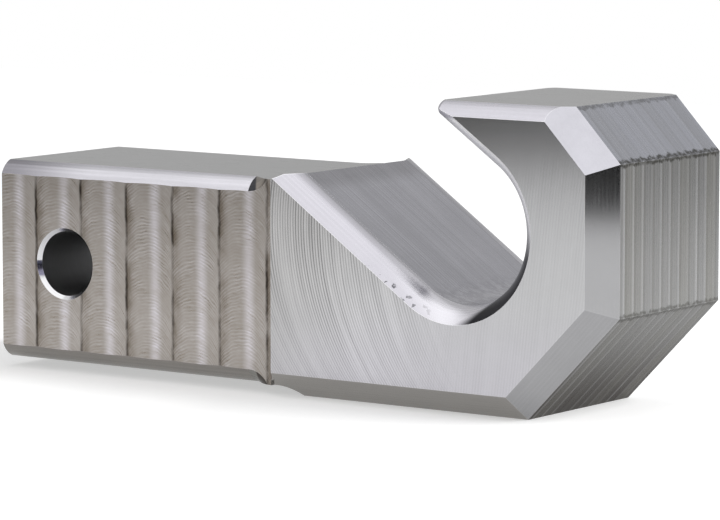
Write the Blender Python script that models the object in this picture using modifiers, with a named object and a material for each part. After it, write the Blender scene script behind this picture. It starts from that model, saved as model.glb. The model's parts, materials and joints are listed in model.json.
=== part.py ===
"""Hitch hook milled from one billet of steel.

Frame: metres, +Z up. The origin lies under the middle of the overall length, on the plane of
the hook's flat base. +X runs from the free end of the square shank to the back of the hook,
and the pin hole through the shank runs along Y.

The blank is the side outline, extruded across the hook's width. Cutters then take away what a
mill took away: the space over the shank, the throat, the cheeks beside the shank, the
chamfers, the rounded edges, the milling passes and the pin hole.
"""

import math

import bmesh
import bpy
from mathutils import Matrix, Vector

MM = 0.001

# Square shank that slides into the receiver tube
SHANK_SIDE = 50.8 * MM
SHANK_LENGTH = 88.4 * MM
SHANK_RISE = 2.35 * MM
SHANK_EDGE = 3.54 * MM
SHANK_EDGE_STOP = 9.0 * MM

# Pin hole through the shank
PIN_HOLE_DIAMETER = 16.5 * MM
PIN_HOLE_FROM_END = 20.8 * MM
PIN_HOLE_CHAMFER = 0.95 * MM

# Hook block: its outside
HOOK_LENGTH = 96.9 * MM
HOOK_WIDTH = 56.2 * MM
HOOK_HEIGHT = 74.75 * MM
LOWER_FACET_RUN = 25.3 * MM
LOWER_FACET_RISE = 25.85 * MM
UPPER_FACET_RUN = 12.3 * MM
UPPER_FACET_RISE = 12.85 * MM
OUTER_CHAMFER_DEPTH = 6.1 * MM
OUTER_CHAMFER_WIDTH = 5.87 * MM

# Throat: a slot that ends in a half circle and opens up and forward over the ramp
THROAT_RADIUS = 18.4 * MM
THROAT_SLOPE = math.radians(34.6)
THROAT_BACK_WALL = 24.95 * MM
THROAT_FLOOR = 25.8 * MM
NOSE_TIP_RADIUS = 2.6 * MM

# Rounding along the ramp, the throat and the nose: how far in it reaches on the cheek, and how
# deep it starts on the inner wall, where it is tangent. The top was faced after it was rounded.
ROUNDING_INSET = 4.0 * MM
ROUNDING_DEPTH = 7.0 * MM
TOP_FACED_OFF = 0.6 * MM

# Steps between the shank and the hook, left by the side of a round cutter. Over the shank the
# cutter turns forward beside each cheek.
STEP_RADIUS = 9.5 * MM
STEP_TURN_RADIUS = 8.5 * MM
STEP_TURN_FORWARD = 3.2 * MM
SHOULDER_RADIUS = 3.2 * MM
RAMP_START = 0.6 * MM
HEEL_START = 5.65 * MM

# Rounding along the shank is an arc that meets each face at a slight angle
EDGE_ARC_RADIUS = 6.0 * MM
EDGE_TOOL_RADIUS = 3.2 * MM

# Milling passes: upright on the shank's cheeks, lengthways on the hook's facets and back
SHANK_PASS_STEP = 14.76 * MM
SHANK_PASS_DEPTH = 0.08 * MM
HOOK_PASS_STEP = 4.0 * MM
HOOK_PASS_DEPTH = 0.08 * MM
CUSP_DEPTH = 0.01 * MM

# Fineness of round shapes
THROAT_SEGMENTS = 48
STEP_SEGMENTS = 10
RAMP_STEP_SEGMENTS = 20
STEP_TURN_SEGMENTS = 6
EDGE_SEGMENTS = 6
TIP_SEGMENTS = 8
RUNOUT_SEGMENTS = 10
PIN_HOLE_SEGMENTS = 64
SHANK_PASS_SEGMENTS = 8
HOOK_PASS_SEGMENTS = 3

# How far a cutter reaches past the metal that it cuts, the distance that closes a seam, the
# radius of a corner drawn sharp, and where the tip's curve stops short of the throat's wall
CLEAR = 1.5 * MM
WELD = 0.001 * MM
SHARP = 0.05 * MM
TIP_STOP = math.radians(8)

# Places worked out from the sizes above
LENGTH = SHANK_LENGTH + HOOK_LENGTH
FREE_END_X = -LENGTH / 2
SHOULDER_X = FREE_END_X + SHANK_LENGTH
BACK_X = LENGTH / 2
SHANK_TOP_Z = SHANK_RISE + SHANK_SIDE
SHANK_CHEEK_Y = SHANK_SIDE / 2
HOOK_CHEEK_Y = HOOK_WIDTH / 2
THROAT_X = BACK_X - THROAT_BACK_WALL - THROAT_RADIUS
THROAT_Z = THROAT_FLOOR + THROAT_RADIUS

# A flat outline drawn as (x, z) stands up with this turn; its thickness then runs along Y
UPRIGHT = Matrix.Rotation(math.pi / 2, 4, "X")


def clear_scene():
    for old in list(bpy.context.scene.objects):
        bpy.data.objects.remove(old, do_unlink=True)


def new_collection(name):
    collection = bpy.data.collections.new(name)
    bpy.context.scene.collection.children.link(collection)
    return collection


def weld(mesh):
    """Joins loose caps and turns every face outward."""
    shape = bmesh.new()
    shape.from_mesh(mesh)
    bmesh.ops.remove_doubles(shape, verts=shape.verts, dist=WELD)
    bmesh.ops.recalc_face_normals(shape, faces=shape.faces)
    shape.to_mesh(mesh)
    shape.free()


def plate(name, outline, thickness, collection, placing=UPRIGHT):
    """A flat outline with a thickness, half of it on each side of the outline's plane."""
    curve = bpy.data.curves.new(name, "CURVE")
    curve.dimensions = "2D"
    curve.fill_mode = "BOTH"
    curve.extrude = thickness / 2
    spline = curve.splines.new("POLY")
    spline.points.add(len(outline) - 1)
    for point, (across, along) in zip(spline.points, outline):
        point.co = (across, along, 0.0, 1.0)
    spline.use_cyclic_u = True
    drawn = bpy.data.objects.new(name, curve)
    collection.objects.link(drawn)
    drawn.matrix_world = placing
    bpy.context.view_layer.update()
    graph = bpy.context.evaluated_depsgraph_get()
    mesh = bpy.data.meshes.new_from_object(drawn.evaluated_get(graph))
    bpy.data.objects.remove(drawn, do_unlink=True)
    weld(mesh)
    solid = bpy.data.objects.new(name, mesh)
    collection.objects.link(solid)
    solid.matrix_world = placing
    return solid


def loft(name, rings, collection):
    """A closed solid through rings of points that all have the same count."""
    shape = bmesh.new()
    rows = [[shape.verts.new(point) for point in ring] for ring in rings]
    for row, next_row in zip(rows, rows[1:]):
        for index, corner in enumerate(row):
            after = (index + 1) % len(row)
            shape.faces.new((corner, row[after], next_row[after], next_row[index]))
    shape.faces.new(rows[0])
    shape.faces.new(rows[-1])
    bmesh.ops.recalc_face_normals(shape, faces=shape.faces)
    mesh = bpy.data.meshes.new(name)
    shape.to_mesh(mesh)
    shape.free()
    solid = bpy.data.objects.new(name, mesh)
    collection.objects.link(solid)
    return solid


def block(name, size, placing, collection):
    """A cuboid centred on its placing."""
    shape = bmesh.new()
    bmesh.ops.create_cube(shape, size=1.0, matrix=placing @ Matrix.Diagonal((*size, 1.0)))
    mesh = bpy.data.meshes.new(name)
    shape.to_mesh(mesh)
    shape.free()
    solid = bpy.data.objects.new(name, mesh)
    collection.objects.link(solid)
    return solid


def mirror_across(solid, axis):
    """Adds the copy on the other side of the plane through the origin."""
    mirror = solid.modifiers.new("other_side", "MIRROR")
    mirror.use_axis = (axis == "X", axis == "Y", axis == "Z")
    mirror.use_mirror_merge = False


def arc(centre_x, centre_z, radius, start, end, segments):
    """Points along a circle, both ends included; angles run from +X towards +Z."""
    points = []
    for index in range(segments + 1):
        angle = start + (end - start) * index / segments
        points.append((centre_x + radius * math.cos(angle), centre_z + radius * math.sin(angle)))
    return points


def rounded_corner(width):
    """An edge's rounding as (inward from one face, inward from the other), face to face."""
    half_chord = width / math.sqrt(2)
    radius = max(EDGE_ARC_RADIUS, width)
    half_angle = math.asin(half_chord / radius)
    centre = width / 2 + radius * math.cos(half_angle) / math.sqrt(2)
    middle = math.pi * 5 / 4
    return arc(centre, centre, radius, middle + half_angle, middle - half_angle, EDGE_SEGMENTS)


def over_the_width(near_half):
    """Turns (depth behind the near cheek, value) into (y, value) from one cheek to the other."""
    near = [(-HOOK_CHEEK_Y + depth, value) for depth, value in near_half]
    far = [(-y, value) for y, value in reversed(near)]
    return near + far


def tangent_rounding():
    """The rounding as (depth behind the cheek, inset), from the cheek to where it ends."""
    radius = (ROUNDING_DEPTH**2 + ROUNDING_INSET**2) / (2 * ROUNDING_INSET)
    whole_turn = math.acos(1 - ROUNDING_INSET / radius)
    points = []
    for index in range(EDGE_SEGMENTS + 1):
        turn = whole_turn * (1 - index / EDGE_SEGMENTS)
        depth = ROUNDING_DEPTH - radius * math.sin(turn)
        points.append((depth, radius * (1 - math.cos(turn))))
    return points


def corner_section(width):
    """What a rounding tool takes off a sharp edge at the origin of metal in the +,+ quarter."""
    return [(-CLEAR, width), (-CLEAR, -CLEAR), (width, -CLEAR), *rounded_corner(width)]


def scallops(first, step, count, depth, segments):
    """A row of shallow hollows as (along, into the metal), cusp to cusp."""
    radius = step * step / (8 * depth) + depth / 2
    points = []
    for index in range(count):
        for part in range(segments):
            from_middle = step * (part / segments - 0.5)
            sunk = math.sqrt(radius**2 - from_middle**2) - (radius - depth)
            points.append((first + step * (index + 0.5) + from_middle, sunk))
    points.append((first + step * count, 0.0))
    return points


def outer_edges():
    """The hook's outer edges in the side view, from the base round to the top."""
    base_end = (BACK_X - LOWER_FACET_RUN, 0.0)
    back_low = (BACK_X, LOWER_FACET_RISE)
    back_high = (BACK_X, HOOK_HEIGHT - UPPER_FACET_RISE)
    top_end = (BACK_X - UPPER_FACET_RUN, HOOK_HEIGHT)
    return {
        "base": ((SHOULDER_X + HEEL_START, 0.0), base_end),
        "lower_facet": (base_end, back_low),
        "back": (back_low, back_high),
        "upper_facet": (back_high, top_end),
    }


def blank_outline():
    """The billet's side outline, with the step under the shank but a full height over it."""
    heel_x = SHOULDER_X + HEEL_START
    step_x = heel_x - math.sqrt(SHANK_RISE * (2 * STEP_RADIUS - SHANK_RISE))
    turn = math.acos(1 - SHANK_RISE / STEP_RADIUS)
    step = arc(
        step_x, SHANK_RISE - STEP_RADIUS, STEP_RADIUS, math.pi / 2, math.pi / 2 - turn, STEP_SEGMENTS
    )
    edges = outer_edges()
    facets = [edges[name][1] for name in ("base", "lower_facet", "back", "upper_facet")]
    return [(FREE_END_X, SHANK_RISE), *step, *facets, (FREE_END_X, HOOK_HEIGHT)]


def edge_frame(start, end):
    """A frame at the middle of an outer edge: X along it, Y to the near cheek, Z out of it."""
    along = Vector((end[0] - start[0], 0.0, end[1] - start[1])).normalized()
    across = Vector((0.0, -1.0, 0.0))
    out = along.cross(across)
    middle = Vector(((start[0] + end[0]) / 2, 0.0, (start[1] + end[1]) / 2))
    frame = Matrix((along, across, out)).transposed().to_4x4()
    frame.translation = middle
    return frame


def edge_length(start, end):
    return math.hypot(end[0] - start[0], end[1] - start[1])


def step_turn():
    """How far forward the step over the shank lies, as (depth behind the cheek, forward)."""
    whole_turn = math.acos(max(1 - STEP_TURN_FORWARD / STEP_TURN_RADIUS, 0.0))
    points = [(-CLEAR, STEP_TURN_FORWARD)]
    for index in range(STEP_TURN_SEGMENTS + 1):
        turn = whole_turn * (1 - index / STEP_TURN_SEGMENTS)
        depth = STEP_TURN_RADIUS * (1 - math.sin(turn))
        points.append((depth, STEP_TURN_RADIUS * (1 - math.cos(turn))))
    return points


def space_over_shank(cutters):
    """Clears the space over the shank, up to the concave step in front of the ramp."""
    ceiling = HOOK_HEIGHT + CLEAR
    floor = -math.pi / 2
    rings = []
    for y, forward in over_the_width(step_turn()):
        start_x = SHOULDER_X + RAMP_START - forward
        step = arc(start_x, SHANK_TOP_Z + STEP_RADIUS, STEP_RADIUS, floor, 0.0, RAMP_STEP_SEGMENTS)
        outline = [(FREE_END_X - CLEAR, SHANK_TOP_Z), *step]
        outline += [(start_x + STEP_RADIUS, ceiling), (FREE_END_X - CLEAR, ceiling)]
        rings.append([(x, y, z) for x, z in outline])
    return loft("over_shank", rings, cutters)


def slot_outline(radius):
    """The throat's outline grown to a radius: its round end, then its open end past the metal."""
    low = -math.pi / 2 - THROAT_SLOPE
    high = math.pi / 2 - THROAT_SLOPE
    reach = LENGTH
    points = arc(THROAT_X, THROAT_Z, radius, low, high, THROAT_SEGMENTS)
    away = (-math.cos(THROAT_SLOPE) * reach, math.sin(THROAT_SLOPE) * reach)
    upper_end = (points[-1][0] + away[0], points[-1][1] + away[1])
    lower_end = (points[0][0] + away[0], points[0][1] + away[1])
    return [*points, upper_end, lower_end]


def throat(cutters):
    return plate("throat", slot_outline(THROAT_RADIUS), HOOK_WIDTH + 2 * CLEAR, cutters)


def throat_edges(cutters):
    """Widens the throat towards each cheek, which rounds the edges of the ramp and the throat."""
    sections = [(-CLEAR, ROUNDING_INSET), *tangent_rounding()]
    sections.append((ROUNDING_DEPTH + CLEAR, -CLEAR / 2))
    rings = []
    for depth, widening in sections:
        outline = slot_outline(THROAT_RADIUS + widening)
        rings.append([(x, -HOOK_CHEEK_Y + depth, z) for x, z in outline])
    cutter = loft("throat_edges", rings, cutters)
    mirror_across(cutter, "Y")
    return cutter


def tip_outline(inset):
    """The nose's top and its rounded tip, moved into the metal, then the space before them."""
    radius = max(NOSE_TIP_RADIUS - inset, SHARP)
    sunk = radius + inset
    slope = (math.sin(THROAT_SLOPE), math.cos(THROAT_SLOPE))
    underside = slope[0] * THROAT_X + slope[1] * THROAT_Z + THROAT_RADIUS
    centre_z = HOOK_HEIGHT + TOP_FACED_OFF - sunk
    centre_x = (underside + sunk - slope[1] * centre_z) / slope[0]
    last = 3 * math.pi / 2 - THROAT_SLOPE - TIP_STOP
    tip = arc(centre_x, centre_z, radius, math.pi / 2, last, TIP_SEGMENTS)
    floor = tip[-1][1] - THROAT_RADIUS / 2
    ceiling = HOOK_HEIGHT + TOP_FACED_OFF + CLEAR
    outline = [(BACK_X + CLEAR, tip[0][1]), *tip, (tip[-1][0], floor)]
    outline += [(FREE_END_X, floor), (FREE_END_X, ceiling), (BACK_X + CLEAR, ceiling)]
    return outline


def nose(cutters):
    """Cuts the nose to length and rounds its tip, and its edges over the cheeks."""
    near_half = [(-CLEAR, ROUNDING_INSET), *tangent_rounding()]
    rings = []
    for y, inset in over_the_width(near_half):
        rings.append([(x, y, z) for x, z in tip_outline(inset)])
    return loft("nose", rings, cutters)


def cheeks(cutters):
    """Narrows the shank on both sides, with one upright milling pass beside the other."""
    room = SHANK_LENGTH - SHOULDER_RADIUS
    count = math.ceil(room / SHANK_PASS_STEP)
    last_cusp = SHOULDER_X - SHOULDER_RADIUS
    passes = scallops(0.0, SHANK_PASS_STEP, count, SHANK_PASS_DEPTH, SHANK_PASS_SEGMENTS)
    face = [(last_cusp - along, -SHANK_CHEEK_Y + sunk) for along, sunk in passes]
    step = max(HOOK_CHEEK_Y - SHANK_CHEEK_Y, 0.0)
    turn = math.acos(max(1 - step / SHOULDER_RADIUS, 0.0))
    shoulder = arc(
        last_cusp, -SHANK_CHEEK_Y - SHOULDER_RADIUS, SHOULDER_RADIUS, math.pi / 2,
        math.pi / 2 - turn, STEP_SEGMENTS,
    )
    outer_y = -HOOK_CHEEK_Y - CLEAR
    outline = [*reversed(face), *shoulder[1:]]
    outline += [(outline[-1][0], outer_y), (outline[0][0], outer_y)]
    height = SHANK_TOP_Z + 2 * CLEAR
    flat = Matrix.Translation((0.0, 0.0, height / 2 - CLEAR))
    cutter = plate("cheeks", outline, height, cutters, flat)
    mirror_across(cutter, "Y")
    return cutter


def shank_edges(cutters):
    """Rounds the shank's long edges; the round tool stops short of the shoulder."""
    section = corner_section(SHANK_EDGE)
    stop_x = SHOULDER_X - SHANK_EDGE_STOP
    made = []
    for name, face_z, up in (("top", SHANK_TOP_Z, 1.0), ("bottom", SHANK_RISE, -1.0)):
        placed = [(-SHANK_CHEEK_Y + a, face_z - up * b) for a, b in section]
        axis_z = face_z + up * EDGE_TOOL_RADIUS
        rings = [[(FREE_END_X - CLEAR, y, z) for y, z in placed]]
        for index in range(RUNOUT_SEGMENTS + 1):
            angle = math.pi / 2 * index / RUNOUT_SEGMENTS
            ring = []
            for y, z in placed:
                reach = abs(axis_z - z)
                ring.append(
                    (stop_x + reach * math.sin(angle), y, axis_z - up * reach * math.cos(angle))
                )
            rings.append(ring)
        cutter = loft(f"shank_{name}_edges", rings, cutters)
        mirror_across(cutter, "Y")
        made.append(cutter)
    return made


def outer_chamfers(cutters):
    """Chamfers the hook's outer edges along both cheeks; neighbours meet in a mitre."""
    made = []
    depth = OUTER_CHAMFER_DEPTH
    width = OUTER_CHAMFER_WIDTH
    slant = Matrix.Rotation(-math.atan2(width, depth), 4, "X")
    corner = Matrix.Translation((0.0, HOOK_CHEEK_Y - depth / 2, -width / 2))
    for name, (start, end) in outer_edges().items():
        frame = edge_frame(start, end)
        length = edge_length(start, end) + 2 * (width + CLEAR)
        thick = 2 * (depth + width)
        outward = Matrix.Translation((0.0, 0.0, thick / 2))
        size = (length, thick, thick)
        cutter = block(f"{name}_chamfer", size, frame @ corner @ slant @ outward, cutters)
        mirror_across(cutter, "Y")
        made.append(cutter)
    return made


def hook_passes(cutters):
    """Mills the facets and the back of the hook in passes that lie beside each other."""
    count = round(HOOK_WIDTH / HOOK_PASS_STEP)
    step = HOOK_WIDTH / count
    hollow = scallops(-HOOK_CHEEK_Y, step, count, HOOK_PASS_DEPTH, HOOK_PASS_SEGMENTS)
    outline = [(along, -CUSP_DEPTH - sunk) for along, sunk in hollow]
    outline = [(-HOOK_CHEEK_Y - CLEAR, -CUSP_DEPTH), *outline, (HOOK_CHEEK_Y + CLEAR, -CUSP_DEPTH)]
    outline += [(HOOK_CHEEK_Y + CLEAR, CLEAR), (-HOOK_CHEEK_Y - CLEAR, CLEAR)]
    end_on = Matrix.Rotation(math.pi / 2, 4, "Z") @ Matrix.Rotation(math.pi / 2, 4, "X")
    made = []
    for name, (start, end) in outer_edges().items():
        if name == "base":
            continue
        length = edge_length(start, end) + 2 * CLEAR
        placing = edge_frame(start, end) @ end_on
        made.append(plate(f"{name}_passes", outline, length, cutters, placing))
    return made


def pin_hole(cutters):
    """A turned tool: the bore with a countersink at each cheek of the shank."""
    radius = PIN_HOLE_DIAMETER / 2
    mouth = radius + PIN_HOLE_CHAMFER
    inner = SHANK_CHEEK_Y - PIN_HOLE_CHAMFER
    outer = SHANK_CHEEK_Y + CLEAR
    profile = [(0.0, outer), (mouth + CLEAR, outer), (radius, inner), (radius, -inner)]
    profile += [(mouth + CLEAR, -outer), (0.0, -outer)]
    mesh = bpy.data.meshes.new("pin_hole")
    edges = [(index, index + 1) for index in range(len(profile) - 1)]
    mesh.from_pydata([(reach, 0.0, along) for reach, along in profile], edges, [])
    cutter = bpy.data.objects.new("pin_hole", mesh)
    cutters.objects.link(cutter)
    cutter.location = (FREE_END_X + PIN_HOLE_FROM_END, 0.0, SHANK_RISE + SHANK_SIDE / 2)
    cutter.rotation_euler = (math.pi / 2, 0.0, 0.0)
    turn = cutter.modifiers.new("turn", "SCREW")
    turn.steps = PIN_HOLE_SEGMENTS
    turn.render_steps = PIN_HOLE_SEGMENTS
    turn.use_merge_vertices = True
    turn.merge_threshold = WELD
    return cutter


def bare_steel():
    """Bare milled steel, a light neutral grey."""
    material = bpy.data.materials.new("milled_steel")
    material.use_nodes = True
    shader = material.node_tree.nodes["Principled BSDF"]
    shader.inputs["Base Color"].default_value = (0.56, 0.56, 0.57, 1.0)
    shader.inputs["Metallic"].default_value = 1.0
    shader.inputs["Roughness"].default_value = 0.32
    return material


def cut(solid, cutter):
    """Takes the cutter's space out of the solid."""
    cutter.hide_render = True
    cutter.display_type = "WIRE"
    boolean = solid.modifiers.new(cutter.name, "BOOLEAN")
    boolean.operation = "DIFFERENCE"
    boolean.solver = "EXACT"
    boolean.object = cutter


def main():
    clear_scene()
    parts = new_collection("hitch_hook")
    cutters = new_collection("cutters")
    cutters.hide_render = True
    hook = plate("hitch_hook", blank_outline(), HOOK_WIDTH, parts)
    tools = [space_over_shank(cutters), throat(cutters), cheeks(cutters)]
    tools += hook_passes(cutters)
    tools += outer_chamfers(cutters)
    tools += [throat_edges(cutters), nose(cutters)]
    tools += shank_edges(cutters)
    tools.append(pin_hole(cutters))
    for tool in tools:
        cut(hook, tool)
    hook.data.materials.append(bare_steel())


main()
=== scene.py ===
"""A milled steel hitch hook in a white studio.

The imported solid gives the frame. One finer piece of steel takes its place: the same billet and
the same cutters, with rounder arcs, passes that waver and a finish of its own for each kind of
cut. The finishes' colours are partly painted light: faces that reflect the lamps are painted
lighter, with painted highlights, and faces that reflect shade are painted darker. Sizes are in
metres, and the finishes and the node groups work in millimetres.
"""

from __future__ import annotations

import json
import logging
import math
import random
from collections.abc import Callable
from dataclasses import dataclass
from enum import Enum

import bmesh
import bpy
from mathutils import Matrix, Vector

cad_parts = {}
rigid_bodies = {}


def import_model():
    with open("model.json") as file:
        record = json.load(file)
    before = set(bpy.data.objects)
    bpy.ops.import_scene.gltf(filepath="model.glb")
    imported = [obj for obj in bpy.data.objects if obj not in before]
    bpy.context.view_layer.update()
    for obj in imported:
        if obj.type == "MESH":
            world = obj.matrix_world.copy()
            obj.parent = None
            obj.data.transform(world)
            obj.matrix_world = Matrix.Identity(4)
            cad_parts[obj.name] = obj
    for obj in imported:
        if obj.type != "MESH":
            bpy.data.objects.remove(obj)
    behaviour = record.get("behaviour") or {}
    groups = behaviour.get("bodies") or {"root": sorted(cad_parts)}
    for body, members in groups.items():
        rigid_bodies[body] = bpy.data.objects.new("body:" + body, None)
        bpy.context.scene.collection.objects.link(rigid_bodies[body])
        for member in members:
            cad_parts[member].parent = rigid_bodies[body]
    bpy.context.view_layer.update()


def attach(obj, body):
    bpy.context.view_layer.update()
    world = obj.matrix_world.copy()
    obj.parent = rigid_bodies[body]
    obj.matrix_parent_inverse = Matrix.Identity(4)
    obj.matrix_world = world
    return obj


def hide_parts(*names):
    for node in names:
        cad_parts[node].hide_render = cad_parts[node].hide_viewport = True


LOG = logging.getLogger("hitch_hook")
MM = 0.001
CLEAR = 1.5 * MM
WELD = 0.0005 * MM
SHARP = 0.05 * MM
PROUD = 0.004 * MM
EDGE_LINE = 0.3 * MM
CARD_STEPS = 32
AS_DRAWN = Matrix.Identity(4)
UPRIGHT = Matrix.Rotation(math.pi / 2, 4, "X")

LENGTHWISE = (1.0, 0.0, 0.0)
OUTWARD = (0.0, 1.0, 0.0)
UPWARD = (0.0, 0.0, 1.0)
ROUND_THE_THROAT = (1.0, 0.0, 1.0)

WHITE = (1.0, 1.0, 1.0, 1.0)
BLACK = (0.0, 0.0, 0.0, 1.0)
# The bright line on the edges: a painted highlight, partly real scuffing from deburring.
EDGE_SCUFF_AND_HIGHLIGHT = (0.86, 0.86, 0.88, 1.0)
# On the shank's passes: a painted highlight, brown painted shade and a painted shadow on each ridge.
PAINTED_PASS_HIGHLIGHT = (0.66, 0.63, 0.66, 1.0)
PAINTED_PASS_SHADE = (0.17, 0.14, 0.11, 1.0)
RIDGE_SHADOW = (0.04, 0.033, 0.028, 1.0)
RIB_OLIVE = (0.27, 0.265, 0.24, 1.0)
# On the narrow passes: a painted highlight along one side and painted shade along the other.
PAINTED_RIB_HIGHLIGHT = (0.62, 0.62, 0.63, 1.0)
RIB_SHADOW = (0.12, 0.115, 0.10, 1.0)
BURR = (0.05, 0.048, 0.04, 1.0)
BURR_STRENGTHS = (0.6, 0.9, 0.5)

Point2 = tuple[float, float]
Point3 = tuple[float, float, float]
Colour = tuple[float, float, float]
Socket = bpy.types.NodeSocket
Sockets = bpy.types.bpy_prop_collection
Tree = bpy.types.NodeTree
Shape = bmesh.types.BMesh
Piece = bpy.types.Object


def arc(centre: Point2, radius: float, start: float, end: float, segments: int) -> list[Point2]:
    """Points along a circle, both ends included; angles run from +X towards +Z.

    Args:
        centre: The circle's centre.
        radius: Its radius.
        start: The first point's angle.
        end: The last point's angle.
        segments: How many steps lie between them.

    Returns:
        The points.
    """
    points = []
    for index in range(segments + 1):
        angle = start + (end - start) * index / segments
        points.append((centre[0] + radius * math.cos(angle), centre[1] + radius * math.sin(angle)))
    return points


def easing(depth: float, radius: float, drop: float, segments: int = 16) -> list[Point2]:
    """An arc in the width that starts off a face by a drop and ends flush with it.

    Args:
        depth: How far behind the cheek it ends.
        radius: Its radius.
        drop: How far off the face it starts.
        segments: How many steps make it.

    Returns:
        Points as (depth behind the cheek, distance off the face).
    """
    whole_turn = math.acos(1 - drop / radius)
    points = []
    for index in range(segments + 1):
        turn = whole_turn * (1 - index / segments)
        points.append((depth - radius * math.sin(turn), radius * (1 - math.cos(turn))))
    return points


def over_the_width(cheek: float, near_half: list[Point2]) -> list[Point2]:
    """Turns (depth behind the near cheek, value) into (y, value) from cheek to cheek.

    Args:
        cheek: How far each cheek lies from the middle plane.
        near_half: The near half's points.

    Returns:
        Both halves' points.
    """
    near = [(-cheek + depth, value) for depth, value in near_half]
    far = [(-y, value) for y, value in reversed(near)]
    return near + far


def scallops(first: float, step: float, count: int, depth: float, segments: int) -> list[Point2]:
    """A row of shallow hollows, cusp to cusp.

    Args:
        first: Where the row starts.
        step: The width of one hollow.
        count: How many there are.
        depth: How deep each one is.
        segments: How many steps make one.

    Returns:
        Points as (along, into the metal).
    """
    radius = step * step / (8 * depth) + depth / 2
    points = []
    for index in range(count):
        for part in range(segments):
            from_middle = step * (part / segments - 0.5)
            sunk = math.sqrt(radius**2 - from_middle**2) - (radius - depth)
            points.append((first + step * (index + 0.5) + from_middle, sunk))
    points.append((first + step * count, 0.0))
    return points


def mesh_of(name: str, shape: Shape) -> bpy.types.Mesh:
    """Makes a mesh of a shape and frees the shape.

    Args:
        name: The mesh's name.
        shape: The shape.

    Returns:
        The mesh.
    """
    mesh = bpy.data.meshes.new(name)
    shape.to_mesh(mesh)
    shape.free()
    return mesh


def in_scene(name: str, data: bpy.types.ID) -> Piece:
    """Puts an object into the scene.

    Args:
        name: The object's name.
        data: Its mesh, lamp or camera.

    Returns:
        The object.
    """
    made = bpy.data.objects.new(name, data)
    bpy.context.scene.collection.objects.link(made)
    return made


def aimed(made: Piece, place: Vector, back: Vector) -> None:
    """Places a lamp or a camera, which looks away from its back.

    Args:
        made: The object.
        place: Where it goes.
        back: The direction that its back faces.
    """
    made.location = place
    made.rotation_mode = "QUATERNION"
    made.rotation_quaternion = back.to_track_quat("Z", "Y")


class Lay(Enum):
    """The way that the tool marks of a cut run."""

    PROFILE = "lines along the profile, side by side across the width"
    FACE_MILL = "wide arcs that a face mill left on the hook's cheeks"
    END_MILL = "small arcs in upright passes on the shank's cheeks"
    RIBS = "narrow passes side by side across the width, each with its own shade"


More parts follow.
